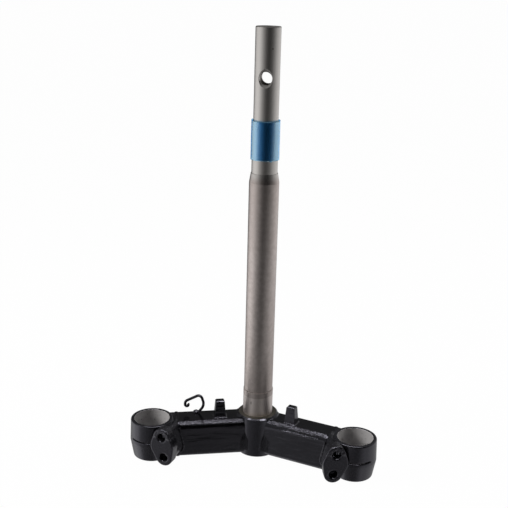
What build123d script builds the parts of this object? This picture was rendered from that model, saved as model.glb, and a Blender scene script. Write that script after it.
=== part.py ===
"""Lower fork bridge of a scooter with its long steering stem.

Millimetres. The stem axis is Z and z = 0 is the shoulder the lower steering
bearing sits on. The front of the machine is -Y. The right side is +X.
"""
import os
from math import asin, atan2, cos, degrees, hypot, radians, sin, sqrt, tan

from build123d import *

os.makedirs("parts", exist_ok=True)

# Steering stem, one tube, lengths counted up from the shoulder
bearing_seat_dia = 30.0
bearing_seat_length = 26.0
press_step = 0.2
tube_dia = 29.0
tube_length = 214.5
taper_length = 9.0
taper_top_dia = 26.0
thread_dia = 25.0
thread_length = 49.8
thread_chamfer = 0.6
neck_dia = 23.75
neck_length = 85.4
neck_edge = 1.0
tube_bore_dia = 22.0
neck_bore_dia = 17.0
cross_hole_dia = 12.0
cross_hole_below_top = 46.2
countersink_dia = 17.2

# Plastic sleeve over the thread
sleeve_wall = 1.15
sleeve_length = 36.8
sleeve_clearance = 0.1
bare_band_length = 13.0

# Boss the stem is pressed into
boss_dia = 41.5
boss_height = 42.6
boss_chamfer = 1.2
stem_end_recess = 3.0
stem_weld_leg = 2.6

# Bridge arms, two folded pressings each
arm_ahead_of_fork = 2.54
arm_front = 14.7
arm_rear = 12.4
arm_below_shoulder = 2.5
arm_height = 38.4
arm_to_ring = 3.7
sheet = 3.5
rear_fold_radius = 3.0
front_fold_radius = 5.0
top_fold_radius = 4.8
seam_behind_front = 5.2
arm_start = 8.0

# Fork clamps
fork_spacing = 204.0
fork_offset = 37.0
fork_bore_dia = 35.0
clamp_height = 39.5
clamp_above_shoulder = 0.5
clamp_rim_wall = 3.6
clamp_belly_wall = 4.3
clamp_foot_wall = 1.3
clamp_belly_drop = 21.5
clamp_rim_chamfer = 0.6
clamp_foot_chamfer = 0.8

# Pinch ear and the block behind it, in the clamp's own turned frame
ear_turn = 14.0
ear_proud = 0.2
ear_thickness = 10.5
ear_edge = 0.8
pinch_slit = 3.0
saw_slot = 1.4
saw_slot_drop = 17.5
saw_slot_reach = 13.5
lobe_gap = 1.6
upper_bolt_past_bore = 4.4
upper_bolt_drop = 7.3
lower_bolt_past_bore = 6.9
lower_bolt_drop = 27.9
upper_lobe_radius = 9.2
lower_lobe_radius = 9.0
ear_waist_past_bore = 4.8
ear_waist_drop = 17.0
ear_waist_radius = 12.6
upper_boss_radius = 5.8
block_waist_radius = 7.4
lower_boss_radius = 7.2
block_depth = 22.0
bolt_clear_dia = 8.5
bolt_mouth = 0.7
bolt_core_dia = 6.8
upper_thread_depth = 13.5
lower_thread_depth = 11.5

# Steering stops
stop_along = 39.5
stop_across = -3.4
stop_width = 11.6
stop_depth = 10.0
stop_height = 18.3
stop_taper = 4.3
stop_edge = 1.0
stop_bevel_angle = 45.0
stop_weld_leg = 1.6

# Cable guide, a bent wire on the left arm
wire_dia = 2.8
guide_inboard_of_fork = 38.5
guide_behind_arm_middle = 7.4
guide_heel = 4.4
guide_heel_radius = 1.9
guide_bow_reach = 10.3
guide_bow_rise = 7.9
guide_bow_radius = 9.9
guide_crown_reach = 6.2
guide_crown_rise = 19.7
guide_crown_radius = 3.7
guide_elbow_rise = 10.4
guide_elbow_radius = 4.4
guide_reach = 10.0
guide_tip_rise = 6.8
guide_curl_radius = 1.7
guide_curl_turn = 220.0
guide_weld_radius = 3.4
guide_weld_cover = 0.4
guide_weld_along = 1.4

# Weld beads
seam_bead_radius = 3.4
seam_bead_proud = 0.8
seam_bead_angle = 62.0
rear_bead_radius = 2.0
boss_fillet_front = 32.0
boss_fillet_rear = 6.0
boss_fillet_drop = 12.0
boss_top_leg = 1.8
clamp_bead_width = 3.0
clamp_bead_proud = 0.5
lug_bead = 1.5
fillet_weld_angle = 45.0

# Radii and levels that follow from the sizes above
seat_radius = bearing_seat_dia / 2
press_radius = seat_radius - press_step
boss_radius = boss_dia / 2
bore_radius = fork_bore_dia / 2
rim_radius = bore_radius + clamp_rim_wall
belly_radius = bore_radius + clamp_belly_wall
foot_radius = bore_radius + clamp_foot_wall
ear_face = belly_radius + ear_proud
upper_bolt_side = bore_radius + upper_bolt_past_bore
lower_bolt_side = bore_radius + lower_bolt_past_bore
ear_waist_side = bore_radius + ear_waist_past_bore
fork_reach = hypot(fork_spacing / 2, fork_offset)
arm_sweep = degrees(atan2(fork_offset, fork_spacing / 2)) - arm_ahead_of_fork
arm_length = fork_reach - belly_radius - arm_to_ring
sleeve_bore = thread_dia / 2 + sleeve_clearance
sleeve_radius = sleeve_bore + sleeve_wall
wire_radius = wire_dia / 2
guide_from_stem = fork_spacing / 2 - guide_inboard_of_fork
guide_forward = guide_from_stem * tan(radians(arm_sweep)) - guide_behind_arm_middle
taper_start = bearing_seat_length + tube_length
thread_start = taper_start + taper_length
neck_start = thread_start + thread_length
stem_top = neck_start + neck_length
cross_hole_level = stem_top - cross_hole_below_top
stem_foot = -boss_height + stem_end_recess
arm_top = -arm_below_shoulder
arm_bottom = arm_top - arm_height
arm_floor = arm_bottom + sheet
clamp_top = clamp_above_shoulder
clamp_bottom = clamp_top - clamp_height
slot_level = -saw_slot_drop
beyond = 2 * clamp_height
half_turn = 180.0


def on_arm(shape):
    """Turn a shape drawn along the arm, outward +X and rearward +Y, into place."""
    return Rot(0, 0, -arm_sweep) * shape


def on_clamp(shape):
    """Move a shape drawn round the fork axis, facing -Y, into place."""
    return Pos(fork_spacing / 2, -fork_offset, 0) * (Rot(0, 0, ear_turn) * shape)


def off_clamp(shape):
    """Bring a shape in place back to the frame round the fork axis."""
    return Rot(0, 0, -ear_turn) * (Pos(-fork_spacing / 2, fork_offset, 0) * shape)


def turned(profile):
    """Solid of revolution round Z from (radius, level) points."""
    outline = Polyline(*[(radius, 0, level) for radius, level in profile], close=True)
    return revolve(make_face(outline), axis=Axis.Z)


def disc(radius, low, high):
    """Upright cylinder between two levels."""
    return Pos(0, 0, low) * Cylinder(radius, high - low, align=(Align.CENTER, Align.CENTER, Align.MIN))


def block(x_low, x_high, y_low, y_high, z_low, z_high):
    """Box between two corners."""
    low_corner = (Align.MIN, Align.MIN, Align.MIN)
    return Pos(x_low, y_low, z_low) * Box(x_high - x_low, y_high - y_low, z_high - z_low, align=low_corner)


def along_arm(section, start, end):
    """Bar along the arm from (across, level) section points."""
    outline = Polyline(*[(start, across, level) for across, level in section], close=True)
    return extrude(make_face(outline), amount=end - start, dir=(1, 0, 0))


def rod_along_arm(radius, across, level, start, end):
    """Round bar along the arm."""
    centre = (Align.CENTER, Align.CENTER, Align.MIN)
    return Pos(start, across, level) * (Rot(0, 90, 0) * Cylinder(radius, end - start, align=centre))


def rod_into_clamp(radius, side, level, start, end):
    """Round bar running rearward through the ear."""
    centre = (Align.CENTER, Align.CENTER, Align.MIN)
    return Pos(side, start, level) * (Rot(-90, 0, 0) * Cylinder(radius, end - start, align=centre))


def bolt_mouth_cone(side, level):
    """Bevel at the front of a clearance hole in the ear."""
    hole_radius = bolt_clear_dia / 2
    centre = (Align.CENTER, Align.CENTER, Align.MIN)
    bevel = Cone(hole_radius + bolt_mouth, hole_radius, bolt_mouth, align=centre)
    return Pos(side, -ear_face, level) * (Rot(-90, 0, 0) * bevel)


# Stem: outside turned, bore follows the swage
stem_profile = [
    (tube_bore_dia / 2, stem_foot),
    (press_radius, stem_foot),
    (press_radius, 0),
    (seat_radius, 0),
    (seat_radius, bearing_seat_length),
    (tube_dia / 2, bearing_seat_length),
    (tube_dia / 2, taper_start),
    (taper_top_dia / 2, thread_start),
    (thread_dia / 2, thread_start),
    (thread_dia / 2, neck_start - thread_chamfer),
    (neck_dia / 2, neck_start),
    (neck_dia / 2, stem_top),
    (neck_bore_dia / 2, stem_top),
    (neck_bore_dia / 2, thread_start),
    (tube_bore_dia / 2, taper_start),
]
stem_blank = turned(stem_profile)
stem_rim = stem_blank.edges().filter_by(GeomType.CIRCLE).group_by(Axis.Z)[-1].sort_by(SortBy.RADIUS)[-1]
steering_stem = fillet(stem_rim, neck_edge)
cross_hole = Pos(0, 0, cross_hole_level) * (Rot(90, 0, 0) * Cylinder(cross_hole_dia / 2, beyond))
countersink_depth = (countersink_dia - cross_hole_dia) / 2
upper_end = (Align.CENTER, Align.CENTER, Align.MAX)
countersink = Cone(cross_hole_dia / 2, countersink_dia / 2, countersink_depth, align=upper_end)
front_countersink = Pos(0, -neck_dia / 2, cross_hole_level) * (Rot(90, 0, 0) * countersink)
rear_countersink = Pos(0, neck_dia / 2, cross_hole_level) * (Rot(-90, 0, 0) * countersink)
steering_stem = steering_stem - cross_hole - front_countersink - rear_countersink

# Sleeve pushed over the thread
sleeve_start = thread_start + bare_band_length
sleeve_end = sleeve_start + sleeve_length
sleeve_hole = disc(sleeve_bore, sleeve_start, sleeve_end)
thread_protector = disc(sleeve_radius, sleeve_start, sleeve_end) - sleeve_hole

# Boss with the machined shoulder on top
boss_profile = [
    (press_radius, -boss_height),
    (boss_radius - boss_chamfer, -boss_height),
    (boss_radius, -boss_height + boss_chamfer),
    (boss_radius, -boss_chamfer),
    (boss_radius - boss_chamfer, 0),
    (seat_radius, 0),
    (press_radius, -press_step),
]
stem_boss = turned(boss_profile)
stem_weld = turned([
    (press_radius, stem_foot),
    (press_radius, stem_foot - stem_weld_leg),
    (press_radius - stem_weld_leg, stem_foot),
])

# Arm pressings: the upper one is the top and the rear wall, the lower one the front and floor,
# folded over at its top to meet the other in a seam
boss_core = disc(boss_radius, arm_bottom - beyond, arm_top + beyond)
seam = -arm_front + seam_behind_front
upper_section = [
    (seam, arm_top),
    (arm_rear, arm_top),
    (arm_rear, arm_floor),
    (arm_rear - sheet, arm_floor),
    (arm_rear - sheet, arm_top - sheet),
    (seam, arm_top - sheet),
]
lower_section = [
    (-arm_front, arm_top),
    (seam, arm_top),
    (seam, arm_top - sheet),
    (-arm_front + sheet, arm_top - sheet),
    (-arm_front + sheet, arm_floor),
    (arm_rear, arm_floor),
    (arm_rear, arm_bottom),
    (-arm_front, arm_bottom),
]


def fold(bar, across, level, radius):
    """Round the long edge of a bar along the arm nearest a place across it."""
    middle = bar.center(CenterOf.BOUNDING_BOX).X
    return fillet(bar.edges().filter_by(Axis.X).sort_by_distance((middle, across, level))[0], radius)


def arm_bar(start, end, grow=0.0):
    """Full outline of the folded arm between two places, grown all round."""
    top, bottom = arm_top + grow, arm_bottom - grow
    front, rear = -arm_front - grow, arm_rear + grow
    bar = block(start, end, front, rear, bottom, top)
    bar = fold(bar, rear, top, rear_fold_radius + grow)
    bar = fold(bar, front, top, top_fold_radius + grow)
    return fold(bar, front, bottom, front_fold_radius + grow)


arm_upper = fold(along_arm(upper_section, arm_start, arm_length), arm_rear, arm_top, rear_fold_radius)
arm_upper = arm_upper - boss_core
arm_lower = fold(along_arm(lower_section, arm_start, arm_length), -arm_front, arm_bottom, front_fold_radius)
arm_lower = fold(arm_lower, -arm_front, arm_top, top_fold_radius) - boss_core
arm_box = arm_bar(0, arm_length + beyond)

# Fork clamp: ring, lug toward the arm, block and sawn ear, one forging
ring_profile = [
    (0, clamp_top),
    (rim_radius - clamp_rim_chamfer, clamp_top),
    (rim_radius, clamp_top - clamp_rim_chamfer),
    (belly_radius, -clamp_belly_drop),
    (foot_radius, clamp_bottom + clamp_foot_chamfer),
    (foot_radius - clamp_foot_chamfer, clamp_bottom),
    (0, clamp_bottom),
]
ring = turned(ring_profile)
fork_bore = disc(bore_radius, clamp_bottom - beyond, clamp_top + beyond)


def pinch_outline(upper, waist, lower):
    """Egg-shaped outline round both bolts, in the upright plane, from its three radii."""
    circles = [
        Pos(-upper_bolt_side, -upper_bolt_drop) * Circle(upper),
        Pos(-ear_waist_side, -ear_waist_drop) * Circle(waist),
        Pos(-lower_bolt_side, -lower_bolt_drop) * Circle(lower),
    ]
    return make_hull([circle.edge() for circle in circles])


def pinch_bar(outline, start, end):
    """Bar with an upright outline between two distances behind the fork axis."""
    upright = Plane(origin=(0, start, 0), x_dir=(1, 0, 0), z_dir=(0, -1, 0))
    return extrude(upright * outline, amount=end - start, dir=(0, 1, 0))


def block_outline(grow):
    """Outline of the block that holds both threads, grown all round."""
    return pinch_outline(upper_boss_radius + grow, block_waist_radius + grow, lower_boss_radius + grow)


ear_back = -ear_face + ear_thickness
block_front = ear_back + pinch_slit
slot_top = slot_level + saw_slot / 2
slot_bottom = slot_level - saw_slot / 2
ear = pinch_bar(pinch_outline(upper_lobe_radius, ear_waist_radius, lower_lobe_radius), -ear_face, ear_back)
ear = chamfer(ear.faces().sort_by(Axis.Y)[0].edges(), ear_edge)
lobe_relief = disc(belly_radius + lobe_gap, slot_bottom, clamp_top + beyond)
ear = ear - lobe_relief
bolt_block = pinch_bar(block_outline(0), block_front, block_depth)
bolt_block = bolt_block - off_clamp(on_arm(block(-beyond, arm_length, -arm_front, beyond, -beyond, beyond)))
lug_end = fork_reach - bore_radius / 2
lug = off_clamp(on_arm(arm_bar(arm_length, lug_end)))
lug = lug - disc(foot_radius, clamp_bottom - beyond, clamp_bottom)
saw_cut = Pos(fork_spacing / 2, -fork_offset, 0) * block(
    -beyond, beyond, -beyond, -saw_slot_reach, slot_bottom, slot_top)
slot_cut = off_clamp(saw_cut) & disc(belly_radius + lobe_gap, slot_bottom, slot_top)
slit_cut = block(-beyond, 0, ear_back, block_front, clamp_bottom - beyond, slot_top)
clamp = (ring - slot_cut - slit_cut) + lug + bolt_block + ear
clamp = clamp - fork_bore
for side, drop, depth in (
    (upper_bolt_side, upper_bolt_drop, upper_thread_depth),
    (lower_bolt_side, lower_bolt_drop, lower_thread_depth),
):
    clamp = clamp - rod_into_clamp(bolt_clear_dia / 2, -side, -drop, -ear_face - ear_edge, block_front)
    clamp = clamp - bolt_mouth_cone(-side, -drop)
    clamp = clamp - rod_into_clamp(bolt_core_dia / 2, -side, -drop, block_front, block_front + depth)
fork_clamp = on_clamp(clamp)

# Steering stop and its weld
stop_base = Pos(stop_along, stop_across, arm_top) * Rectangle(stop_width, stop_depth)
stop_body = extrude(stop_base, amount=stop_height - stop_edge, taper=stop_taper)
stop_cap = extrude(stop_body.faces().sort_by(Axis.Z)[-1], amount=stop_edge, taper=stop_bevel_angle)
steering_stop = stop_body + stop_cap
weld_base = Pos(stop_along, stop_across, arm_top) * Rectangle(
    stop_width + 2 * stop_weld_leg, stop_depth + 2 * stop_weld_leg)
stop_weld = extrude(weld_base, amount=stop_weld_leg, taper=fillet_weld_angle) - steering_stop

# Cable guide: foot along the plate, bow, crown and a curled end, in one upright plane
guide_floor = arm_top + wire_radius


def guide_point(toward_stem, height):
    """Place on the guide's upright plane, measured from the end of its foot."""
    return (toward_stem - guide_from_stem, -guide_forward, guide_floor + height)


curl_end = radians(half_turn + guide_curl_turn)
curl_middle = radians(half_turn + guide_curl_turn / 2)


def curl_point(angle):
    """Place on the curled end of the guide."""
    reach = -guide_reach + guide_curl_radius * (1 + cos(angle))
    return guide_point(reach, guide_tip_rise + guide_curl_radius * sin(angle))


guide_line = FilletPolyline(
    guide_point(0, 0),
    guide_point(guide_heel, 0),
    guide_point(guide_bow_reach, guide_bow_rise),
    guide_point(guide_crown_reach, guide_crown_rise),
    guide_point(-guide_reach, guide_elbow_rise),
    guide_point(-guide_reach, guide_tip_rise),
    radius=[guide_heel_radius, guide_bow_radius, guide_crown_radius, guide_elbow_radius],
)
curl_line = ThreePointArc(
    guide_point(-guide_reach, guide_tip_rise), curl_point(curl_middle), curl_point(curl_end))
guide_path = Wire(guide_line.edges() + [curl_line])
wire_section = Plane(origin=guide_point(0, 0), z_dir=(1, 0, 0)) * Circle(wire_radius)
cable_guide = sweep(wire_section, path=guide_path)
blob_level = arm_top + wire_dia + guide_weld_cover - guide_weld_radius
blob_place = Pos(guide_weld_along - guide_from_stem, -guide_forward, blob_level)
left_arm_box = mirror(on_arm(arm_box), about=Plane.YZ)
guide_weld = blob_place * Sphere(guide_weld_radius) - left_arm_box - cable_guide

# Seam beads along the arm
bead_end = arm_length - clamp_bead_width / 2
bead_from_fold = top_fold_radius + seam_bead_proud - seam_bead_radius
bead_across = -arm_front + top_fold_radius - bead_from_fold * cos(radians(seam_bead_angle))
bead_level = arm_top - top_fold_radius + bead_from_fold * sin(radians(seam_bead_angle))
front_bead = rod_along_arm(seam_bead_radius, bead_across, bead_level, 0, bead_end) - arm_box - boss_core
stop_weld = stop_weld - front_bead
rear_bead = rod_along_arm(rear_bead_radius, arm_rear, arm_floor, 0, bead_end) - arm_box - boss_core


def boss_corner(across, radius, low, high):
    """Upright fillet between the boss and an arm wall, drawn toward +Y."""
    along = sqrt((boss_radius + radius) ** 2 - (across + radius) ** 2)
    corner = Vector(sqrt(boss_radius ** 2 - across ** 2), across, low)
    centre = Vector(along, across + radius, low)
    to_wall = Vector(0, -1, 0)
    to_boss = Vector(-along, -across - radius, 0).normalized()
    on_wall = centre + to_wall * radius
    on_boss = centre + to_boss * radius
    middle = centre + (to_wall + to_boss).normalized() * radius
    outline = [Line(corner, on_wall), ThreePointArc(on_wall, middle, on_boss), Line(on_boss, corner)]
    return extrude(make_face(outline), amount=high - low, dir=(0, 0, 1)) - boss_core


front_corner = boss_corner(
    arm_front, boss_fillet_front, arm_bottom + front_fold_radius, arm_top - boss_fillet_drop)
boss_weld_front = mirror(front_corner, about=Plane.XZ)
boss_weld_rear = boss_corner(
    arm_rear, boss_fillet_rear, arm_floor + rear_bead_radius, arm_top - rear_fold_radius)

# Fillet on the top plate round the boss
top_from = -degrees(asin((arm_front - seam_behind_front) / boss_radius))
top_to = degrees(asin((arm_rear - rear_fold_radius) / boss_radius))
top_section = Polyline(
    (boss_radius, 0, arm_top),
    (boss_radius + boss_top_leg, 0, arm_top),
    (boss_radius, 0, arm_top + boss_top_leg),
    close=True,
)
top_ring = revolve(make_face(top_section), axis=Axis.Z, revolution_arc=top_to - top_from)
boss_weld_top = Rot(0, 0, top_from) * top_ring - front_bead

# Butt weld round the end of the arm, as far as the block lets it run, and the bead round the block
# on the arm's front wall
clamp_weld = arm_bar(bead_end, arm_length + clamp_bead_width / 2, clamp_bead_proud) - arm_box
clamp_weld = (on_arm(clamp_weld) - fork_clamp).solids().sort_by(SortBy.VOLUME)[-1]
lug_strip = on_clamp(pinch_bar(block_outline(lug_bead), block_front, block_depth))
wall_strip = on_arm(block(
    0, bead_end, -arm_front - lug_bead, -arm_front, arm_bottom, arm_top - top_fold_radius))
lug_weld = (lug_strip & wall_strip) - fork_clamp

single = {
    "steering_stem": steering_stem,
    "thread_protector": thread_protector,
    "stem_boss": stem_boss,
    "stem_weld": stem_weld,
    "cable_guide": cable_guide,
    "guide_weld": guide_weld,
}
for name, shape in single.items():
    export_step(shape, f"parts/{name}.step")

handed = {
    "arm_upper": on_arm(arm_upper),
    "arm_lower": on_arm(arm_lower),
    "fork_clamp": fork_clamp,
    "steering_stop": on_arm(steering_stop),
    "stop_weld": on_arm(stop_weld),
    "front_seam_weld": on_arm(front_bead) - fork_clamp,
    "rear_seam_weld": on_arm(rear_bead) - fork_clamp,
    "boss_weld_front": on_arm(boss_weld_front),
    "boss_weld_rear": on_arm(boss_weld_rear),
    "boss_weld_top": on_arm(boss_weld_top),
    "clamp_weld": clamp_weld,
    "lug_weld": lug_weld,
}
for name, shape in handed.items():
    export_step(shape, f"parts/{name}_right.step")
    export_step(mirror(shape, about=Plane.YZ), f"parts/{name}_left.step")
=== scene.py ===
"""Looks of a welded fork bridge: finish of every surface, weld ripples, sleeve and studio."""
import math

import bmesh
import bpy
from mathutils import Matrix, Vector, noise


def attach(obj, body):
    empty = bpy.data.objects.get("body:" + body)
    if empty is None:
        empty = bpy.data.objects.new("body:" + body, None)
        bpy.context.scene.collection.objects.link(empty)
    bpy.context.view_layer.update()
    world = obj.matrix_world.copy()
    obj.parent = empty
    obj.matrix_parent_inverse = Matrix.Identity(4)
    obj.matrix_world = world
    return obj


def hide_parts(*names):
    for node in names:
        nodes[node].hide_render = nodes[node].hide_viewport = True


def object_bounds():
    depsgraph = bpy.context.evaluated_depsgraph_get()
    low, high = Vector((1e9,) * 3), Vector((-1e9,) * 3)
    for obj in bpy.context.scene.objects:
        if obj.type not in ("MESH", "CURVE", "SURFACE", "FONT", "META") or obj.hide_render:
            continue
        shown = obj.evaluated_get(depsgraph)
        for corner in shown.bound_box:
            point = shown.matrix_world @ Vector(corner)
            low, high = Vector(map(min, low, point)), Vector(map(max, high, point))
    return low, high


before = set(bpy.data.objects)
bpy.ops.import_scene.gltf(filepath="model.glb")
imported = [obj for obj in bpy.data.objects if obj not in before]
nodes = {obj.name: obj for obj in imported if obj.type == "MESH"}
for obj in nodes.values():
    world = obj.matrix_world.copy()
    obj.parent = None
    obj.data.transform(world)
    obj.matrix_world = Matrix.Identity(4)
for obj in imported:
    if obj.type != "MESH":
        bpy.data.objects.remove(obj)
cad_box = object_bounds()

MM = 0.001
BODY = "root"
UP = Vector((0, 0, 1))
WHITE = (1, 1, 1, 1)

# Places on the part that the finish follows, in metres
SEAT_TOP = 26 * MM
SWAGE_START = 240.5 * MM
THREAD_START = 249.5 * MM
BOSS_RADIUS = 20.75 * MM
BOSS_CHAMFER = 1.2 * MM
FORK_HALF_SPACING = 102 * MM
FORK_FORWARD = 37 * MM
FORK_BORE_RADIUS = 17.5 * MM
ARM_SWEEP = math.radians(17.4)
ARM_FRONT = 14.7 * MM
ARM_TOP = -2.5 * MM
WIDE_FOLD = 7.5 * MM
CORNER_TOP = -14.5 * MM
CORNER_TAPER_START = -27 * MM

# Every grain below is cells to the metre, detail and, where it is uneven, stretch along x, y and z

# Steel of the stem
STAIN_GRAIN = (28, 5, (1, 1, 0.35))
STAIN_RANGE = (0.42, 0.72)
MOTTLE_GRAIN = (260, 4)
MOTTLE_RANGE = (0.35, 0.65)
MOTTLE_DEPTH = 0.012 * MM
TURNING_GRAIN = (1, 2, (30, 30, 2600))
TURNING_DEPTH = 0.02 * MM
NECK_COLOURS = ((0.60, 0.575, 0.55), (0.66, 0.635, 0.61))
TUBE_COLOURS = ((0.55, 0.49, 0.465), (0.63, 0.565, 0.54))
TUBE_STAIN = (0.47, 0.41, 0.385)
SEAT_COLOURS = ((0.8, 0.735, 0.71), (0.66, 0.59, 0.56))
POLISH_FROM = 20 * MM
POLISH_TO = 130 * MM
POLISH_ROUGHNESS = (0.48, 0.38)

# Lower end of the tube's brown finish: height, how far it wanders, how softly it ends
FINISH_END = 20.4 * MM
FINISH_GRAIN = (90, 2)
FINISH_WANDER = 3 * MM
FINISH_FADE = 0.6 * MM

# Narrow step where the tube stands on the bearing seat
STEP_HALF = 0.2 * MM
STEP_REACH = 0.4 * MM
STEP_COLOUR = (0.9, 0.83, 0.8)
STEP_ROUGHNESS = 0.9

# Marks on the stem: place, half sizes
NECK_PIT = (Vector((5.92, -10.29, 365.2)) * MM, Vector((1.1, 1.1, 0.9)) * MM)
SEAT_SCRATCH = (Vector((-5.0, -14.14, 14.8)) * MM, Vector((0.7, 1.5, 2.4)) * MM)
MARK_COLOUR = (0.2, 0.17, 0.15)
MARK_SOLID = 0.4

# Black enamel: name, grey level, roughness, cells of its skin to the metre
ARM_PAINT = ("arm_paint", 0.002, 0.12, 500)
WELD_PAINT = ("weld_paint", 0.0015, 0.16, 900)
WIRE_PAINT = ("wire_paint", 0.003, 0.18, 800)
PAINT_SHEEN = (0.88, 0.86, 1.0, 1)
PAINT_SPECULAR = 0.85
PAINT_TONE = (1.0, 1.0, 1.1)
DUST_TONE = (1.6, 1.6, 1.8)
DUST_GRAIN = (140, 4)
DUST_RANGE = (0.5, 0.8)
DUST_ROUGHNESS = 0.1
SKIN_DETAIL = 3
SKIN_DEPTH = 0.06 * MM
STREAK_GRAIN = (80, 4, (0.35, 0.35, 1.7))
STREAK_DEPTH = 0.8 * MM

# Fork clamps: enamel, bare bore, chips at the rim, crust on the block
CLAMP_BLACK = (0.006, 0.006, 0.007)
BORE_STEEL = (0.30, 0.29, 0.285)
BORE_METAL = 0.2
CLAMP_ROUGHNESS = (0.16, 0.5)
CLAMP_SPECULAR = 0.88
CLAMP_SKIN = (700, 3)
BORE_RINGS = (1, 2, (40, 40, 1500))
CLAMP_GRAIN_DEPTH = 0.05 * MM
CHIP_GRAIN = (420, 3)
CHIP_SIZE = 0.9 * MM
BARE_WITHIN = 0.5 * MM
BARE_FADE = 0.25 * MM
BLOCK_RADII = (21.5 * MM, 23 * MM)
BLOCK_LEVELS = (-9 * MM, -6 * MM)
CRUST_GRAIN = (380, 4)
CRUST_DEPTH = 1.2 * MM

# Boss: enamel with a bare ring on top
BOSS_BLACK = (0.005, 0.005, 0.006)
RING_STEEL = (0.22, 0.205, 0.17)
BOSS_ROUGHNESS = (0.14, 0.45)
BOSS_SKIN = (600, 3)
BOSS_SKIN_DEPTH = 0.05 * MM
RING_GRAIN = (300, 3)
RING_WANDER = 1.2 * MM
RING_FADE = 0.5 * MM
RING_LEVELS = (-0.3 * MM, -0.1 * MM)

# Blue film of the sleeve
FILM_GRAIN = (60, 3, (1, 1, 0.3))
FILM_DEPTH = 0.1 * MM
FILM_SKIN = ((0.56, 0.84, 1.0), (0.64, 0.9, 1.0))
FILM_TINT = ((0.46, 0.76, 1.0), (0.52, 0.81, 1.0))
FILM_ROUGHNESS = 0.24
FILM_EDGE = 0.34
FILM_SKIN_SHARE = (0.02, 0.56)

# Form of the sleeve
SLEEVE_START = 262.5 * MM
SLEEVE_END = 299.3 * MM
SLEEVE_RADIUS = 13.65 * MM
SLEEVE_BORE = 13.3 * MM
SLEEVE_SIDES = 160
SLEEVE_ROWS = 40
SLEEVE_RAGGED = 0.22 * MM
SLEEVE_RAGGED_LIFT = 0.6
LOWER_RIM_CELLS = 2
UPPER_RIM_CELLS = 1.7
UPPER_RIM_SHIFT = Vector((0, 0, 5))
SLEEVE_OVER = 0.5 * MM
SLEEVE_LOOSE = 0.1 * MM
LOOSE_CELLS_ROUND = 1.3
LOOSE_CELLS_UP = 90
SLEEVE_TEAR = 1.3 * MM
SLEEVE_TEAR_ANGLE = math.radians(303)
SLEEVE_TEAR_HALF = math.radians(7)

# Worn edges: voxel size, rounds of smoothing
CLAMP_WEAR = (0.45 * MM, 6)
STOP_WEAR = (0.25 * MM, 3)
PRESSING_WEAR = (0.5 * MM, 2)
WELD_WEAR = (0.3 * MM, 4)
SMALL_WELD_WEAR = (0.25 * MM, 3)
SMOOTH_FACTOR = 0.5
SEAM_CLOSING = 0.002 * MM

# Ripples of a weld: direction, pitch, depth of the ripples, height of the lumps
SIDE_WELDS = {
    "rear_seam_weld": ("along", 2.1 * MM, 0.22 * MM, 0.2 * MM),
    "clamp_weld": ("up", 1.8 * MM, 0.12 * MM, 0.15 * MM),
    "lug_weld": ("up", 1.8 * MM, 0.2 * MM, 0.2 * MM),
    "stop_weld": ("along", 1.6 * MM, 0.15 * MM, 0.35 * MM),
    "boss_weld_front": ("up", 2.2 * MM, 0.0, 0.1 * MM),
    "boss_weld_rear": ("up", 2.2 * MM, 0.1 * MM, 0.12 * MM),
    "boss_weld_top": ("along", 1.8 * MM, 0.15 * MM, 0.3 * MM),
}
SMALL_WELD_RIPPLE = (1.5 * MM, 0.1 * MM, 0.25 * MM)
SEAM_RIPPLE = (2.1 * MM, 0.24 * MM, 0.36 * MM)
SEAM_LUMP_SIZE = 0.9 * MM
LUMP_SIZE = 1.4 * MM
RIPPLE_WANDER_SIZE = 3 * MM
RIPPLE_WANDER = 0.35
RIPPLE_SINK = 0.6

# Weld runs along the front seam, outlines as (across, level) in millimetres
RUN_START = 12 * MM
RUN_END = 82 * MM
RUN_STEP = 0.3 * MM
RUN_ROUND = 2.5 * MM
RUN_TIP = 0.35
RUN_ROUNDS = 3
RUN_CORNER_CUT = 0.25
RUN_CORE = (-10.5, -6.5)
LEFT_RUN = (
    (-9.0, -3.2), (-9.9, -2.55), (-11.2, -3.1), (-12.4, -3.85), (-13.7, -4.7), (-14.1, -5.3),
    (-14.0, -6.1), (-13.4, -6.7),
)
RIGHT_RUN = (
    (-7.9, -3.1), (-8.8, -2.2), (-10.0, -2.35), (-11.2, -3.1), (-12.3, -3.9), (-12.8, -4.5),
    (-12.9, -5.2),
)
RIGHT_FOLD = ((-13.2, -6.2), (-13.6, -7.0), (-13.9, -7.6), (-14.0, -8.2), (-13.8, -8.8))
RIGHT_LEDGE = ((-13.6, -6.5), (-14.3, -6.85), (-15.3, -7.45), (-15.3, -8.2), (-14.0, -9.2))
LEDGE_START = 29 * MM
LEDGE_END = 76 * MM
LEDGE_FADE = 5 * MM
LEDGE_PATCH_SIZE = 5 * MM
LEDGE_PATCH_LEVEL = 0.75
LEDGE_PATCH_SWING = 0.5

# Camera at the photograph's viewing angle
CAMERA_PLACE = Vector((111.4, -829.9, 425.1)) * MM
CAMERA_TURN = math.radians(8.184)
CAMERA_TILT = math.radians(17.04)
CAMERA_ROLL = math.radians(1.499)
CAMERA_LENS = 63.59
CAMERA_SENSOR = 36.0
CAMERA_NEAR = 0.01

# Tent of light: levels by degrees round the stem from its dark opening, right side positive
TENT_TURN = math.radians(64)
TENT_LEVELS = (
    (-180, 0.02), (-162, 0.1), (-142, 0.9), (-117, 1.0), (-92, 1.0), (-70, 0.62), (-51, 0.32),
    (-32, 0.1), (-18, 0.02), (0, 0.0), (24, 0.04), (44, 0.26), (67, 0.62), (96, 0.8), (122, 0.95),
    (145, 0.6), (165, 0.08), (180, 0.02),
)
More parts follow.
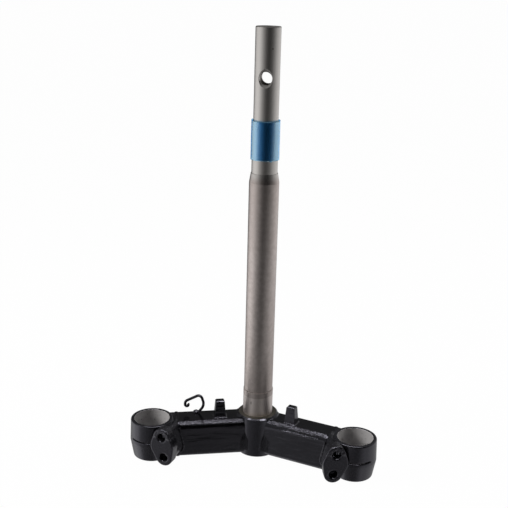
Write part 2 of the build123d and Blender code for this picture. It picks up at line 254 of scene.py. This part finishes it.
# The same above the horizon, where the front stays dark
SKY_LEVELS = (
    (-180, 0.06), (-150, 0.1), (-125, 0.4), (-100, 0.55), (-80, 0.4), (-55, 0.08), (-40, 0.02),
    (0, 0.0), (50, 0.02), (75, 0.12), (105, 0.36), (130, 0.3), (155, 0.09), (180, 0.06),
)
# The same low down, where the pale table lies
TABLE_LEVELS = (
    (-180, 0.3), (-150, 0.5), (-125, 1.0), (-92, 0.85), (-79, 0.38), (-66, 0.25), (-50, 0.2),
    (-30, 0.16), (-12, 0.16), (0, 0.22), (12, 0.36), (28, 0.54), (48, 0.5), (72, 0.55), (100, 0.5),
    (140, 0.4), (180, 0.3),
)
OVERHEAD_COLOUR = (0.3, 0.3, 0.3)
# Heights on the unit sphere between which one zone of the tent turns into the next
TABLE_ZONE = (-0.2, -0.5)
SKY_ZONE = (-0.03, 0.16)
OVERHEAD_ZONE = (0.72, 0.86)

# Floor
FLOOR_HALF_SIDE = 30.0
FLOOR_GRAIN = (400, 3)
FLOOR_COLOURS = ((0.42, 0.42, 0.42), (0.45, 0.45, 0.45))
FLOOR_ROUGHNESS = 0.9
FLOOR_SPECULAR = 0.1
FLOOR_CAMERA_WHITE = 0.985

# Soft lamps: name, place in metres, side length in metres, power in watts
LAMPS = (
    ("top_lamp", (-0.1, -0.05, 1.2), 0.3, 3.0),
    ("left_lamp", (-1.1, -0.45, 0.75), 0.6, 28.0),
    ("right_lamp", (1.1, 0.4, 0.75), 0.6, 15.0),
)
# Strip of light low over the arms, which shows only in reflections
STRIP_PLACE = (0.0, -0.11, 0.3)
STRIP_LENGTH = 0.42
STRIP_WIDTH = 0.08
STRIP_POWER = 0.95


class Wiring:
    """A node tree being wired up, with short calls for the nodes it uses."""

    def __init__(self, tree):
        self.tree = tree

    def add(self, kind, **settings):
        """A new node with the given settings."""
        made = self.tree.nodes.new(kind)
        for key, value in settings.items():
            setattr(made, key, value)
        return made

    def wire(self, source, target):
        """Link an output to an input, or set the input where the source is a plain value."""
        if isinstance(source, bpy.types.NodeSocket):
            self.tree.links.new(source, target)
        else:
            target.default_value = source

    def math(self, operation, first, second=0.0):
        """One sum with two values."""
        made = self.add("ShaderNodeMath", operation=operation)
        self.wire(first, made.inputs[0])
        self.wire(second, made.inputs[1])
        return made.outputs[0]

    def span(self, value, low, high, start=0.0, end=1.0):
        """Smooth step from start to end as value goes from low to high."""
        made = self.add("ShaderNodeMapRange", interpolation_type="SMOOTHSTEP")
        self.wire(value, made.inputs["Value"])
        self.wire(low, made.inputs["From Min"])
        self.wire(high, made.inputs["From Max"])
        self.wire(start, made.inputs["To Min"])
        self.wire(end, made.inputs["To Max"])
        return made.outputs[0]

    def blend(self, factor, first, second):
        """Colour between two colours."""
        made = self.add("ShaderNodeMix", data_type="RGBA")
        self.wire(factor, made.inputs["Factor"])
        for colour, target in ((first, made.inputs[6]), (second, made.inputs[7])):
            self.wire((*colour, 1) if isinstance(colour, tuple) else colour, target)
        return made.outputs[2]

    def mix(self, share, first, second):
        """Surface or background between two others."""
        made = self.add("ShaderNodeMixShader")
        for source, target in zip((share, first, second), made.inputs):
            self.wire(source, target)
        return made.outputs[0]

    def seen_directly(self):
        """One for what the camera sees, also through a clear piece."""
        path = self.add("ShaderNodeLightPath")
        return self.math("MAXIMUM", path.outputs["Is Camera Ray"], path.outputs["Is Transmission Ray"])


class Shader(Wiring):
    """A material being wired up, with the place on the object to work from."""

    def __init__(self, name):
        self.material = bpy.data.materials.new(name)
        self.material.use_nodes = True
        super().__init__(self.material.node_tree)
        self.surface = self.tree.nodes["Principled BSDF"]
        self.output = self.tree.nodes["Material Output"].inputs[0]
        self.place = self.add("ShaderNodeTexCoord").outputs["Object"]
        parts = self.add("ShaderNodeSeparateXYZ")
        self.wire(self.place, parts.inputs[0])
        self.x, self.y, self.z = parts.outputs

    def give(self, **values):
        """Wire or set inputs of the surface by name, with underscores for spaces."""
        for key, value in values.items():
            self.wire(value, self.surface.inputs[key.replace("_", " ")])

    def noise(self, scale, detail, stretch=(1, 1, 1)):
        """Grey noise with about scale cells to the metre."""
        moved = self.add("ShaderNodeMapping")
        self.wire(self.place, moved.inputs["Vector"])
        self.wire(stretch, moved.inputs["Scale"])
        made = self.add("ShaderNodeTexNoise")
        self.wire(moved.outputs[0], made.inputs["Vector"])
        self.wire(scale, made.inputs["Scale"])
        self.wire(detail, made.inputs["Detail"])
        return made.outputs["Fac"]

    def bump(self, height, distance, under=None):
        """Normal of a relief, on top of another where one is given."""
        made = self.add("ShaderNodeBump")
        self.wire(height, made.inputs["Height"])
        self.wire(distance, made.inputs["Distance"])
        self.wire(1.0, made.inputs["Strength"])
        if under is not None:
            self.wire(under, made.inputs["Normal"])
        return made.outputs[0]

    def vector(self, operation, first, second=None):
        """One sum with vectors."""
        made = self.add("ShaderNodeVectorMath", operation=operation)
        self.wire(first, made.inputs[0])
        if second is not None:
            self.wire(second, made.inputs[1])
        return made.outputs

    def spot(self, centre, half_sizes):
        """One inside a small egg-shaped place, fading to nothing at its edge."""
        moved = self.vector("SUBTRACT", self.place, centre)["Vector"]
        scaled = self.vector("DIVIDE", moved, half_sizes)["Vector"]
        length = self.vector("LENGTH", scaled)["Value"]
        return self.span(length, MARK_SOLID, 1.0, 1.0, 0.0)

    def radius_from(self, across, forward):
        """Distance from an upright axis."""
        side = self.math("SUBTRACT", self.x, across)
        ahead = self.math("SUBTRACT", self.y, forward)
        square = self.math("ADD", self.math("MULTIPLY", side, side), self.math("MULTIPLY", ahead, ahead))
        return self.math("SQRT", square)


def stem_colour(s, stains, mottle, turning):
    """Brown-grey on the tube, lighter on the neck and the bearing seat."""
    wander = s.math("MULTIPLY", s.math("SUBTRACT", s.noise(*FINISH_GRAIN), 0.5), FINISH_WANDER)
    border = s.math("ADD", s.z, wander)
    above_seat = s.span(border, FINISH_END - FINISH_FADE, FINISH_END + FINISH_FADE)
    on_seat = s.span(border, FINISH_END + FINISH_FADE, FINISH_END - FINISH_FADE)
    on_tube = s.math("MULTIPLY", above_seat, s.span(s.z, THREAD_START, SWAGE_START))
    neck = s.blend(turning, *NECK_COLOURS)
    tube = s.blend(stains, s.blend(mottle, *TUBE_COLOURS), TUBE_STAIN)
    bright = s.blend(on_seat, neck, s.blend(stains, *SEAT_COLOURS))
    return s.blend(on_tube, bright, tube)


def stem_steel():
    """Turned bare steel with a few marks."""
    s = Shader("stem_steel")
    stains = s.span(s.noise(*STAIN_GRAIN), *STAIN_RANGE)
    mottle = s.span(s.noise(*MOTTLE_GRAIN), *MOTTLE_RANGE)
    turning = s.noise(*TURNING_GRAIN)
    over_step = s.span(s.z, SEAT_TOP + STEP_REACH, SEAT_TOP + STEP_HALF)
    under_step = s.span(s.z, SEAT_TOP - STEP_REACH, SEAT_TOP - STEP_HALF)
    on_step = s.math("MULTIPLY", under_step, over_step)
    plain = s.blend(on_step, stem_colour(s, stains, mottle, turning), STEP_COLOUR)
    marks = s.math("MAXIMUM", s.spot(*NECK_PIT), s.spot(*SEAT_SCRATCH))
    polish = s.span(s.z, POLISH_FROM, POLISH_TO, *POLISH_ROUGHNESS)
    s.give(
        Base_Color=s.blend(marks, plain, MARK_COLOUR),
        Metallic=1.0,
        Roughness=s.math("MAXIMUM", polish, s.math("MULTIPLY", on_step, STEP_ROUGHNESS)),
        Normal=s.bump(mottle, MOTTLE_DEPTH, under=s.bump(turning, TURNING_DEPTH)),
    )
    return s.material


def black_paint(name, grey, roughness, cells):
    """Black enamel over rough steel."""
    s = Shader(name)
    skin = s.bump(s.noise(cells, SKIN_DETAIL), SKIN_DEPTH)
    dust = s.span(s.noise(*DUST_GRAIN), *DUST_RANGE)
    clean_colour = tuple(grey * share for share in PAINT_TONE)
    dusty_colour = tuple(grey * share for share in DUST_TONE)
    s.give(
        Base_Color=s.blend(dust, clean_colour, dusty_colour),
        Roughness=s.span(dust, 0, 1, roughness, roughness + DUST_ROUGHNESS),
        Normal=s.bump(s.noise(*STREAK_GRAIN), STREAK_DEPTH, under=skin),
        Specular_IOR_Level=PAINT_SPECULAR,
        Specular_Tint=PAINT_SHEEN,
    )
    return s.material


def clamp_paint(side):
    """Black enamel outside, bare bored steel inside."""
    s = Shader("clamp_paint_" + side)
    across = FORK_HALF_SPACING if side == "right" else -FORK_HALF_SPACING
    radius = s.radius_from(across, -FORK_FORWARD)
    chipped = s.math("ADD", radius, s.math("MULTIPLY", s.noise(*CHIP_GRAIN), CHIP_SIZE))
    bare_radius = FORK_BORE_RADIUS + BARE_WITHIN
    bare = s.span(chipped, bare_radius, bare_radius + BARE_FADE, 1.0, 0.0)
    relief = s.blend(bare, s.noise(*CLAMP_SKIN), s.noise(*BORE_RINGS))
    on_block = s.math("MULTIPLY", s.span(radius, *BLOCK_RADII), s.span(s.z, *BLOCK_LEVELS))
    crust = s.bump(s.math("MULTIPLY", on_block, s.noise(*CRUST_GRAIN)), CRUST_DEPTH)
    s.give(
        Base_Color=s.blend(bare, CLAMP_BLACK, BORE_STEEL),
        Metallic=s.math("MULTIPLY", bare, BORE_METAL),
        Roughness=s.span(bare, 0, 1, *CLAMP_ROUGHNESS),
        Normal=s.bump(relief, CLAMP_GRAIN_DEPTH, under=crust),
        Specular_IOR_Level=CLAMP_SPECULAR,
        Specular_Tint=PAINT_SHEEN,
    )
    return s.material


def boss_finish():
    """Black enamel with a bare machined ring on top."""
    s = Shader("boss_finish")
    wander = s.math("MULTIPLY", s.noise(*RING_GRAIN), RING_WANDER)
    edge = s.math("ADD", s.radius_from(0.0, 0.0), wander)
    ring_radius = BOSS_RADIUS - BOSS_CHAMFER
    ring = s.span(edge, ring_radius, ring_radius + RING_FADE, 1.0, 0.0)
    bare = s.math("MULTIPLY", ring, s.span(s.z, *RING_LEVELS))
    s.give(
        Base_Color=s.blend(bare, BOSS_BLACK, RING_STEEL),
        Metallic=bare,
        Roughness=s.span(bare, 0, 1, *BOSS_ROUGHNESS),
        Normal=s.bump(s.noise(*BOSS_SKIN), BOSS_SKIN_DEPTH),
        Specular_IOR_Level=PAINT_SPECULAR,
        Specular_Tint=PAINT_SHEEN,
    )
    return s.material


def sleeve_plastic():
    """Thin translucent blue film with a bright skin, so the steel below shows through it."""
    s = Shader("sleeve_plastic")
    streaks = s.noise(*FILM_GRAIN)
    s.give(
        Base_Color=s.blend(streaks, *FILM_SKIN),
        Metallic=1.0,
        Roughness=FILM_ROUGHNESS,
        Normal=s.bump(streaks, FILM_DEPTH),
    )
    tint = s.add("ShaderNodeBsdfTransparent")
    s.wire(s.blend(streaks, *FILM_TINT), tint.inputs["Color"])
    facing = s.add("ShaderNodeLayerWeight").outputs["Facing"]
    outside = s.math("SUBTRACT", 1.0, s.add("ShaderNodeNewGeometry").outputs["Backfacing"])
    share = s.math("MULTIPLY", outside, s.span(facing, 0.0, FILM_EDGE, *FILM_SKIN_SHARE))
    s.wire(s.mix(share, tint.outputs[0], s.surface.outputs[0]), s.output)
    return s.material


def floor_paper():
    """Pale paper that shows nearly white to the camera."""
    s = Shader("floor_paper")
    s.give(
        Base_Color=s.blend(s.noise(*FLOOR_GRAIN), *FLOOR_COLOURS),
        Roughness=FLOOR_ROUGHNESS,
        Specular_IOR_Level=FLOOR_SPECULAR,
    )
    share = s.math("MULTIPLY", s.seen_directly(), FLOOR_CAMERA_WHITE)
    glow = s.add("ShaderNodeEmission")
    s.wire(s.mix(share, s.surface.outputs[0], glow.outputs[0]), s.output)
    return s.material


def placed(name, data):
    """A new object in the scene."""
    made = bpy.data.objects.new(name, data)
    bpy.context.scene.collection.objects.link(made)
    return made


def shown(name, mesh, replaced):
    """A new piece of the object that stands for a node."""
    piece = placed(name, mesh)
    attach(piece, BODY)
    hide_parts(replaced)
    return piece


def dress(piece, material):
    """Give a piece or node its one material."""
    piece.data.materials.clear()
    piece.data.materials.append(material)
    for face in piece.data.polygons:
        face.material_index = 0


def finished_mesh(work, name):
    """Smooth mesh of what was drawn, with all faces turned outward."""
    bmesh.ops.recalc_face_normals(work, faces=work.faces)
    for face in work.faces:
        face.smooth = True
    mesh = bpy.data.meshes.new(name)
    work.to_mesh(mesh)
    work.free()
    return mesh


def closed_copy(node):
    """The node's mesh as one joined surface."""
    work = bmesh.new()
    work.from_mesh(nodes[node].data)
    bmesh.ops.remove_doubles(work, verts=work.verts, dist=SEAM_CLOSING)
    mesh = bpy.data.meshes.new(node + "_soft")
    work.to_mesh(mesh)
    work.free()
    return mesh


def softened(node, voxel, rounds):
    """The node's form with its sharp edges worn round, as an even mesh."""
    carrier = placed(node + "_carrier", closed_copy(node))
    remesh = carrier.modifiers.new("even", "REMESH")
    remesh.mode = "VOXEL"
    remesh.voxel_size = voxel
    remesh.use_smooth_shade = True
    smooth = carrier.modifiers.new("round", "SMOOTH")
    smooth.factor = SMOOTH_FACTOR
    smooth.iterations = rounds
    depsgraph = bpy.context.evaluated_depsgraph_get()
    mesh = bpy.data.meshes.new_from_object(carrier.evaluated_get(depsgraph))
    bpy.data.objects.remove(carrier)
    return mesh


def rear_of(along):
    """Level direction square to an arm, to the rear."""
    rear = UP.cross(along)
    return rear if rear.y > 0 else -rear


def ripple(mesh, along, pitch, depth, lumps, lump_size=LUMP_SIZE):
    """Push a bead's surface out and in, as the ripples of a weld run."""
    normals = [vertex.normal.copy() for vertex in mesh.vertices]
    for vertex, outward in zip(mesh.vertices, normals):
        place = vertex.co
        wander = noise.noise(place / RIPPLE_WANDER_SIZE) * RIPPLE_WANDER
        phase = place.dot(along) / pitch + wander
        wave = abs(math.sin(math.pi * phase)) - RIPPLE_SINK
        rough = noise.noise(place / lump_size)
        vertex.co = place + outward * (depth * wave + lumps * rough)
    mesh.update()


def taper_corner(mesh, along):
    """Let the top of the corner weld run out into the line where boss and arm wall meet."""
    reach = math.sqrt(BOSS_RADIUS ** 2 - ARM_FRONT ** 2)
    corner = along * reach - rear_of(along) * ARM_FRONT
    for vertex in mesh.vertices:
        rise = (vertex.co.z - CORNER_TAPER_START) / (CORNER_TOP - CORNER_TAPER_START)
        share = min(max(rise, 0.0), 1.0)
        share = share * share * (3 - 2 * share)
        flat = Vector((vertex.co.x, vertex.co.y, 0))
        moved = flat + (corner - flat) * share
        vertex.co = Vector((moved.x, moved.y, vertex.co.z))
    mesh.update()


def bend_front(mesh, along):
    """Give the lower pressing a wide bend where its front wall turns into the top."""
    rear = rear_of(along)
    centre = Vector((WIDE_FOLD - ARM_FRONT, ARM_TOP - WIDE_FOLD))
    for vertex in mesh.vertices:
        across = vertex.co.dot(rear)
        offset = Vector((across, vertex.co.z)) - centre
        if offset.x < 0 < offset.y and offset.length > WIDE_FOLD:
            bent = centre + offset * (WIDE_FOLD / offset.length)
            vertex.co = vertex.co + rear * (bent.x - across)
            vertex.co.z = bent.y
    mesh.update()


def ledge_share(distance, along):
    """How far the lower ledge stands out at a distance along the arm."""
    rise = min((distance - LEDGE_START) / LEDGE_FADE, (LEDGE_END - distance) / LEDGE_FADE, 1.0)
    patchy = LEDGE_PATCH_LEVEL + LEDGE_PATCH_SWING * noise.noise(along * distance / LEDGE_PATCH_SIZE)
    return max(0.0, rise) * min(1.0, patchy)


def run_outline(profile, ledge, share):
    """Closed outline of a weld run, rounded by cutting its corners several times."""
    corners = [Vector(place) for place in profile]
    if ledge:
        plain = [Vector(place) for place in ledge[0]]
        proud = [Vector(place) for place in ledge[1]]
        corners += [low + (high - low) * share for low, high in zip(plain, proud)]
    corners.append(Vector(RUN_CORE))
    for _ in range(RUN_ROUNDS):
        cut = []
        for first, second in zip(corners, corners[1:] + corners[:1]):
            cut.append(first * (1 - RUN_CORNER_CUT) + second * RUN_CORNER_CUT)
            cut.append(first * RUN_CORNER_CUT + second * (1 - RUN_CORNER_CUT))
        corners = cut
    return corners


def run_ring(work, distance, along, profile, ledge):
    """One ring of a weld run's points, smaller toward the run's outer end."""
    rear = rear_of(along)
    inner = Vector(RUN_CORE)
    share = ledge_share(distance, along) if ledge else 1.0
    close = min(1.0, (RUN_END - distance) / RUN_ROUND)
    fullness = RUN_TIP + (1 - RUN_TIP) * math.sqrt(max(0.0, 1 - (1 - close) ** 2))
    ring = []
    for place in run_outline(profile, ledge, share):
        shrunk = (inner + (place - inner) * fullness) * MM
        ring.append(work.verts.new(along * distance + rear * shrunk.x + UP * shrunk.y))
    return ring


def seam_run(name, along, profile, ledge):
    """A weld run along the arm's front seam, with a lower ledge part of the way where one is given."""
    work = bmesh.new()
    count = int((RUN_END - RUN_START) / RUN_STEP)
    rings = []
    for index in range(count + 1):
        distance = RUN_START + (RUN_END - RUN_START) * index / count
        rings.append(run_ring(work, distance, along, profile, ledge))
    for first, second in zip(rings, rings[1:]):
        for index in range(len(first)):
            after = (index + 1) % len(first)
            work.faces.new((first[index], first[after], second[after], second[index]))
    work.faces.new(rings[0])
    work.faces.new(rings[-1])
    return finished_mesh(work, name)


def sleeve_column(work, outward, radius, low, high):
    """Points up the sleeve's wall at one turn, a little loose on the thread."""
    column = []
    for row in range(SLEEVE_ROWS + 1):
        level = low + (high - low) * row / SLEEVE_ROWS
        around = outward * LOOSE_CELLS_ROUND
        loose = SLEEVE_LOOSE * noise.noise(around + UP * (level * LOOSE_CELLS_UP))
        column.append(work.verts.new(outward * (radius + loose) + UP * level))
    return column


def ragged(place):
    """How far a rim of the sleeve is cut back at a place in the noise."""
    return SLEEVE_RAGGED * (noise.noise(place) + SLEEVE_RAGGED_LIFT)


def torn_sleeve():
    """Thin tube with unevenly cut rims and one torn tab at its lower rim."""
    work = bmesh.new()
    outside = []
    inside = []
    for step in range(SLEEVE_SIDES):
        angle = 2 * math.pi * step / SLEEVE_SIDES
        outward = Vector((math.cos(angle), math.sin(angle), 0))
        torn = max(0.0, 1 - abs(angle - SLEEVE_TEAR_ANGLE) / SLEEVE_TEAR_HALF)
        low = SLEEVE_START + ragged(outward * LOWER_RIM_CELLS) - SLEEVE_TEAR * torn
        high = SLEEVE_END + SLEEVE_OVER - ragged(outward * UPPER_RIM_CELLS + UPPER_RIM_SHIFT)
        outside.append(sleeve_column(work, outward, SLEEVE_RADIUS, low, high))
        inside.append(sleeve_column(work, outward, SLEEVE_BORE, low, high))
    for step in range(SLEEVE_SIDES):
        after = (step + 1) % SLEEVE_SIDES
        for row in range(SLEEVE_ROWS):
            for wall in (outside, inside):
                near = wall[step]
                far = wall[after]
                work.faces.new((near[row], far[row], far[row + 1], near[row + 1]))
        for row in (0, SLEEVE_ROWS):
            rim = (outside[step][row], outside[after][row], inside[after][row], inside[step][row])
            work.faces.new(rim)
    return finished_mesh(work, "sleeve")


def build_seam(side, along, weld):
    """Weld run on the front seam; the right one has a second, lower ledge."""
    node = "front_seam_weld_" + side
    if side == "left":
        mesh = seam_run("bead_" + node, along, LEFT_RUN, None)
    else:
        mesh = seam_run("bead_" + node, along, RIGHT_RUN, (RIGHT_FOLD, RIGHT_LEDGE))
    ripple(mesh, along, *SEAM_RIPPLE, SEAM_LUMP_SIZE)
    dress(shown("bead_" + node, mesh, node), weld)


def build_side_welds(side, along, weld):
    """The other weld runs of one arm."""
    directions = {"along": along, "up": UP}
    for kind, (direction, pitch, depth, lumps) in SIDE_WELDS.items():
        node = kind + "_" + side
        mesh = softened(node, *WELD_WEAR)
        if kind == "boss_weld_front":
            taper_corner(mesh, along)
        ripple(mesh, directions[direction], pitch, depth, lumps)
        dress(shown("bead_" + node, mesh, node), weld)


def build_arm(side, along, paint, weld):
    """One arm with its clamp, stop and welds."""
    clamp_node = "fork_clamp_" + side
    clamp = shown("clamp_" + side, softened(clamp_node, *CLAMP_WEAR), clamp_node)
    dress(clamp, clamp_paint(side))
    stop_node = "steering_stop_" + side
    stop = shown("stop_" + side, softened(stop_node, *STOP_WEAR), stop_node)
    dress(stop, paint)
    build_seam(side, along, weld)
    build_side_welds(side, along, weld)
    dress(nodes["arm_upper_" + side], paint)
    pressing_node = "arm_lower_" + side
    pressing = softened(pressing_node, *PRESSING_WEAR)
    bend_front(pressing, along)
    dress(shown("pressing_" + side, pressing, pressing_node), paint)


def build_middle(weld):
    """Stem, boss, wire guide and their small welds."""
    for node in ("guide_weld", "stem_weld"):
        mesh = softened(node, *SMALL_WELD_WEAR)
        ripple(mesh, UP, *SMALL_WELD_RIPPLE)
        dress(shown("bead_" + node, mesh, node), weld)
    dress(nodes["steering_stem"], stem_steel())
    dress(nodes["stem_boss"], boss_finish())
    dress(nodes["cable_guide"], black_paint(*WIRE_PAINT))


def build_sleeve():
    """Blue film over the thread."""
    sleeve = shown("sleeve", torn_sleeve(), "thread_protector")
    dress(sleeve, sleeve_plastic())
    return sleeve


def build_arms_and_middle():
    """Every painted or bare metal piece."""
    paint = black_paint(*ARM_PAINT)
    weld = black_paint(*WELD_PAINT)
    for side, sign in (("right", 1), ("left", -1)):
        along = Vector((sign * math.cos(ARM_SWEEP), -math.sin(ARM_SWEEP), 0))
        build_arm(side, along, paint, weld)
    build_middle(weld)


def build_camera():
    """Camera that looks down on the object, turned and rolled a little."""
    forward = Vector((
        -math.sin(CAMERA_TURN) * math.cos(CAMERA_TILT),
        math.cos(CAMERA_TURN) * math.cos(CAMERA_TILT),
        -math.sin(CAMERA_TILT),
    ))
    level = Vector((math.cos(CAMERA_TURN), math.sin(CAMERA_TURN), 0))
    above = level.cross(forward)
    right = math.cos(CAMERA_ROLL) * level + math.sin(CAMERA_ROLL) * above
    up = math.cos(CAMERA_ROLL) * above - math.sin(CAMERA_ROLL) * level
    data = bpy.data.cameras.new("camera")
    data.lens = CAMERA_LENS
    data.sensor_width = CAMERA_SENSOR
    data.clip_start = CAMERA_NEAR
    camera = placed("camera", data)
    turn = Matrix((right, up, -forward)).transposed().to_4x4()
    camera.matrix_world = Matrix.Translation(CAMERA_PLACE) @ turn
    bpy.context.scene.camera = camera


def light_ramp(w, around, levels):
    """Grey level by the turn round the stem."""
    ramp = w.add("ShaderNodeValToRGB")
    stops = ramp.color_ramp.elements
    stops.remove(stops[0])
    for degrees, level in levels[:-1]:
        stop = stops.new(degrees / 360 + 0.5)
        stop.color = (level, level, level, 1)
    last = levels[-1][1]
    stops[len(stops) - 1].color = (last, last, last, 1)
    w.wire(around, ramp.inputs[0])
    return ramp.outputs[0]


def tent_light(w):
    """Light from each direction: table below, tent round about, dim sky and a panel overhead."""
    direction = w.add("ShaderNodeTexCoord").outputs["Generated"]
    turned = w.add("ShaderNodeVectorRotate", rotation_type="Z_AXIS")
    w.wire(direction, turned.inputs["Vector"])
    w.wire(TENT_TURN, turned.inputs["Angle"])
    gradient = w.add("ShaderNodeTexGradient", gradient_type="RADIAL")
    w.wire(turned.outputs[0], gradient.inputs["Vector"])
    around = gradient.outputs["Fac"]
    parts = w.add("ShaderNodeSeparateXYZ")
    w.wire(direction, parts.inputs[0])
    height = parts.outputs["Z"]
    tent = light_ramp(w, around, TENT_LEVELS)
    with_table = w.blend(w.span(height, *TABLE_ZONE), tent, light_ramp(w, around, TABLE_LEVELS))
    with_sky = w.blend(w.span(height, *SKY_ZONE), with_table, light_ramp(w, around, SKY_LEVELS))
    return w.blend(w.span(height, *OVERHEAD_ZONE), with_sky, OVERHEAD_COLOUR)


def build_world():
    """White behind the object; light and reflections come from a tent with a dark opening in front."""
    world = bpy.data.worlds.new("studio")
    bpy.context.scene.world = world
    world.use_nodes = True
    w = Wiring(world.node_tree)
    w.tree.nodes.clear()
    tent = w.add("ShaderNodeBackground")
    w.wire(tent_light(w), tent.inputs["Color"])
    white = w.add("ShaderNodeBackground")
    w.wire(WHITE, white.inputs["Color"])
    output = w.add("ShaderNodeOutputWorld")
    w.wire(w.mix(w.seen_directly(), tent.outputs[0], white.outputs[0]), output.inputs[0])


def build_floor():
    """Floor at the object's foot, left out of reflections."""
    low = cad_box[0].z
    side = FLOOR_HALF_SIDE
    corners = [(-side, -side, low), (side, -side, low), (side, side, low), (-side, side, low)]
    mesh = bpy.data.meshes.new("floor")
    mesh.from_pydata(corners, [], [(0, 1, 2, 3)])
    floor = placed("floor", mesh)
    floor.visible_glossy = False
    mesh.materials.append(floor_paper())


def build_lamps():
    """Square soft lamps, each turned toward the object and left out of reflections."""
    for name, place, side, power in LAMPS:
        data = bpy.data.lights.new(name, "AREA")
        data.size = side
        data.energy = power
        lamp = placed(name, data)
        lamp.location = place
        lamp.visible_glossy = False
        lamp.rotation_euler = (-Vector(place)).to_track_quat("-Z", "Y").to_euler()


def build_strip(pieces):
    """Long lamp that faces down on the arms, shows only in reflections and leaves out the given pieces."""
    data = bpy.data.lights.new("strip_lamp", "AREA")
    data.shape = "RECTANGLE"
    data.size = STRIP_LENGTH
    data.size_y = STRIP_WIDTH
    data.energy = STRIP_POWER
    strip = placed("strip_lamp", data)
    strip.location = STRIP_PLACE
    strip.visible_camera = False
    strip.visible_diffuse = False
    unlit = bpy.data.collections.new("away_from_strip")
    for piece in pieces:
        unlit.objects.link(piece)
    for entry in unlit.collection_objects:
        entry.light_linking.link_state = "EXCLUDE"
    strip.light_linking.receiver_collection = unlit


bpy.context.scene.view_settings.view_transform = "Standard"
build_camera()
build_world()
build_floor()
build_lamps()
build_arms_and_middle()
sleeve = build_sleeve()
build_strip((nodes["steering_stem"], sleeve))
